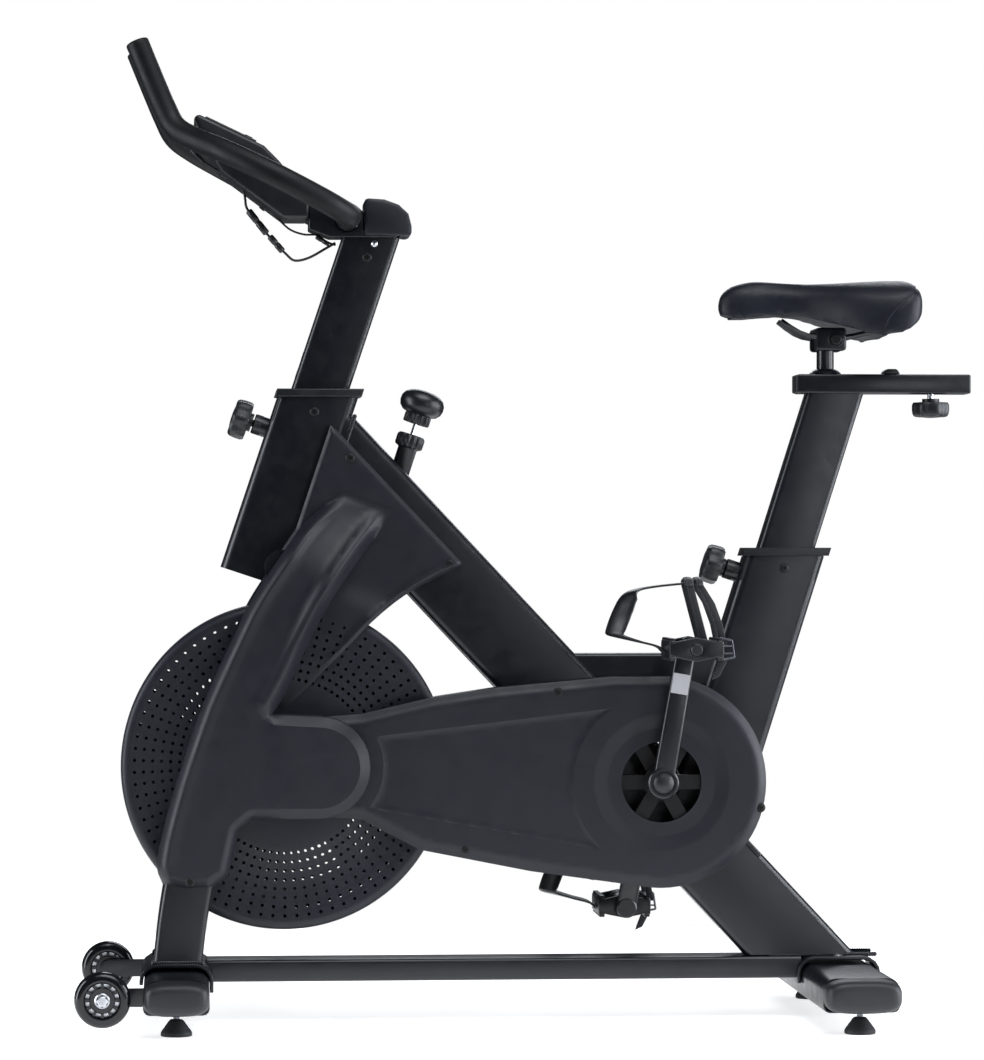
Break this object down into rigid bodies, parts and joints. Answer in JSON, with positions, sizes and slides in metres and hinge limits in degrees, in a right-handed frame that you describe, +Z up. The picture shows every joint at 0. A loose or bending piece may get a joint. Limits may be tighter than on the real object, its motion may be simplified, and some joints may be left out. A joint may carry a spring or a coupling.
{
  "type": "exercise bike",
  "caption": "Indoor cycling exercise bike with a shrouded front flywheel, belt drive, friction brake knob, bullhorn handlebar and sliding saddle.",
  "frame": {"origin": "on the floor, under the middle of the bike's overall box", "axes": "+Z up; +X to the saddle end, -X to the flywheel end; -Y is the belt and cover side, the rider's left"},
  "size_m": [1.121, 0.5, 1.2215],
  "materials": {
    "frame_paint": "satin powder coat, black with a slight blue cast",
    "cover_plastic": "fine-textured moulded ABS, charcoal",
    "black_plastic": "moulded nylon, black, low sheen",
    "zinc_steel": "zinc-plated steel",
    "chrome_rod": "polished chrome",
    "flywheel_iron": "turned cast iron",
    "black_alloy": "black anodised",
    "belt_rubber": "ribbed belt",
    "foot_rubber": "moulded rubber",
    "wheel_plastic": "hard tyre on a nylon hub",
    "grip_foam": "dipped foam grip over a steel bar",
    "lead_jacket": "soft jacket",
    "leatherette": "pebbled black leatherette"
  },
  "bodies": {
    "frame": {"down_tube": "frame_paint", "head_tube": "frame_paint", "seat_tube": "frame_paint", "fork_leg_left": "frame_paint", "fork_leg_right": "frame_paint", "base_rail": "frame_paint", "front_plate": "frame_paint", "rear_plate": "frame_paint", "front_stabilizer": "frame_paint", "rear_stabilizer": "frame_paint", "front_cap_left": "cover_plastic", "front_cap_right": "cover_plastic", "rear_cap_left": "cover_plastic", "rear_cap_right": "cover_plastic", "head_tube_collar": "black_plastic", "seat_tube_collar": "black_plastic", "shroud_left": "cover_plastic", "shroud_right": "cover_plastic", "belt_cover": "cover_plastic", "fork_cover_left": "cover_plastic", "fork_cover_right": "cover_plastic", "frame_cover_left": "cover_plastic", "frame_cover_right": "cover_plastic", "flywheel_axle": "zinc_steel", "brake_sleeve": "black_plastic", "drive_belt": "belt_rubber"},
    "front_foot_left": {"front_foot_left": "foot_rubber"},
    "front_foot_right": {"front_foot_right": "foot_rubber"},
    "rear_foot_left": {"rear_foot_left": "foot_rubber"},
    "rear_foot_right": {"rear_foot_right": "foot_rubber"},
    "transport_wheel_left": {"transport_wheel_left": "wheel_plastic"},
    "transport_wheel_right": {"transport_wheel_right": "wheel_plastic"},
    "flywheel": {"flywheel": "flywheel_iron", "flywheel_pulley": "black_alloy"},
    "crank": {"crank_spindle": "zinc_steel", "crank_pulley": "black_alloy", "crank_left": "black_alloy", "crank_right": "black_alloy"},
    "pedal_left": {"pedal_left": "black_plastic", "toe_cage_left": "black_plastic"},
    "pedal_right": {"pedal_right": "black_plastic", "toe_cage_right": "black_plastic"},
    "handlebar_post": {"handlebar_post": "frame_paint", "handlebar": "grip_foam", "handlebar_clamp": "frame_paint", "post_cover": "black_plastic", "console": "black_plastic", "sensor_lead": "lead_jacket"},
    "seat_post": {"seat_post": "frame_paint", "seat_rail": "frame_paint"},
    "slider_lock_knob": {"slider_lock_knob": "black_plastic"},
    "seat_slider": {"seat_slider": "frame_paint"},
    "saddle": {"saddle_clamp": "zinc_steel", "saddle": "leatherette"},
    "head_lock_pin": {"head_lock_pin": "zinc_steel"},
    "head_lock_knob": {"head_lock_knob": "black_plastic"},
    "seat_lock_pin": {"seat_lock_pin": "zinc_steel"},
    "seat_lock_knob": {"seat_lock_knob": "black_plastic"},
    "brake_rod": {"brake_rod": "chrome_rod"},
    "brake_knob": {"brake_knob": "black_plastic"}
  },
  "joints": [
    {"name": "handlebar_height", "type": "slide", "parent": "frame", "child": "handlebar_post", "axis": [0.3156, 0, 0.9489], "range_m": [-0.1, 0.05]},
    {"name": "seat_height", "type": "slide", "parent": "frame", "child": "seat_post", "axis": [0.3024, 0, 0.9532], "range_m": [-0.1, 0.075]},
    {"name": "saddle_fore_aft", "type": "slide", "parent": "seat_post", "child": "seat_slider", "axis": [1, 0, 0], "range_m": [0, 0.075]},
    {"name": "saddle_tilt", "type": "hinge", "parent": "seat_slider", "child": "saddle", "pos_m": [0.378, 0, 0.85], "axis": [0, 1, 0], "range_deg": [-8, 8]},
    {"name": "slider_lock_turn", "type": "hinge", "parent": "seat_post", "child": "slider_lock_knob", "pos_m": [0.5125, 0, 0.776], "axis": [0, 0, 1], "range_deg": [0, 360]},
    {"name": "crank_spin", "type": "hinge", "parent": "frame", "child": "crank", "pos_m": [0.163, 0, 0.298], "axis": [0, 1, 0], "continuous": true},
    {"name": "flywheel_spin", "type": "hinge", "parent": "frame", "child": "flywheel", "pos_m": [-0.304, 0, 0.319], "axis": [0, 1, 0], "continuous": true},
    {"name": "pedal_left_spin", "type": "hinge", "parent": "crank", "child": "pedal_left", "pos_m": [0.19194, -0.142, 0.46552], "axis": [0, 1, 0], "continuous": true},
    {"name": "pedal_right_spin", "type": "hinge", "parent": "crank", "child": "pedal_right", "pos_m": [0.13406, 0.142, 0.13048], "axis": [0, 1, 0], "continuous": true},
    {"name": "head_lock_pull", "type": "slide", "parent": "frame", "child": "head_lock_pin", "axis": [-0.9489, 0, 0.3156], "range_m": [0, 0.01], "stiffness_N_per_m": 900, "springref_m": -0.002},
    {"name": "head_lock_turn", "type": "hinge", "parent": "head_lock_pin", "child": "head_lock_knob", "pos_m": [-0.34278, 0, 0.74483], "axis": [-0.9489, 0, 0.3156], "range_deg": [0, 360]},
    {"name": "seat_lock_pull", "type": "slide", "parent": "frame", "child": "seat_lock_pin", "axis": [-0.9532, 0, 0.3024], "range_m": [0, 0.01], "stiffness_N_per_m": 900, "springref_m": -0.002},
    {"name": "seat_lock_turn", "type": "hinge", "parent": "seat_lock_pin", "child": "seat_lock_knob", "pos_m": [0.24999, 0, 0.56396], "axis": [-0.9532, 0, 0.3024], "range_deg": [0, 360]},
    {"name": "brake_press", "type": "slide", "parent": "frame", "child": "brake_rod", "axis": [-0.3123, 0, -0.95], "range_m": [0, 0.005], "stiffness_N_per_m": 2500, "springref_m": -0.001},
    {"name": "brake_turn", "type": "hinge", "parent": "brake_rod", "child": "brake_knob", "pos_m": [-0.1316, 0, 0.7688], "axis": [0.3123, 0, 0.95], "range_deg": [0, 720]},
    {"name": "transport_wheel_left_spin", "type": "hinge", "parent": "frame", "child": "transport_wheel_left", "pos_m": [-0.5265, -0.2, 0.0472], "axis": [0, 1, 0], "continuous": true},
    {"name": "transport_wheel_right_spin", "type": "hinge", "parent": "frame", "child": "transport_wheel_right", "pos_m": [-0.5265, 0.2, 0.0472], "axis": [0, 1, 0], "continuous": true},
    {"name": "front_foot_left_height", "type": "slide", "parent": "frame", "child": "front_foot_left", "axis": [0, 0, 1], "range_m": [-0.01, 0.005]},
    {"name": "front_foot_right_height", "type": "slide", "parent": "frame", "child": "front_foot_right", "axis": [0, 0, 1], "range_m": [-0.01, 0.005]},
    {"name": "rear_foot_left_height", "type": "slide", "parent": "frame", "child": "rear_foot_left", "axis": [0, 0, 1], "range_m": [-0.01, 0.005]},
    {"name": "rear_foot_right_height", "type": "slide", "parent": "frame", "child": "rear_foot_right", "axis": [0, 0, 1], "range_m": [-0.01, 0.005]}
  ],
  "couplings": [
    {"joint": "flywheel_spin", "follows": "crank_spin", "ratio": 3.5971}
  ]
}
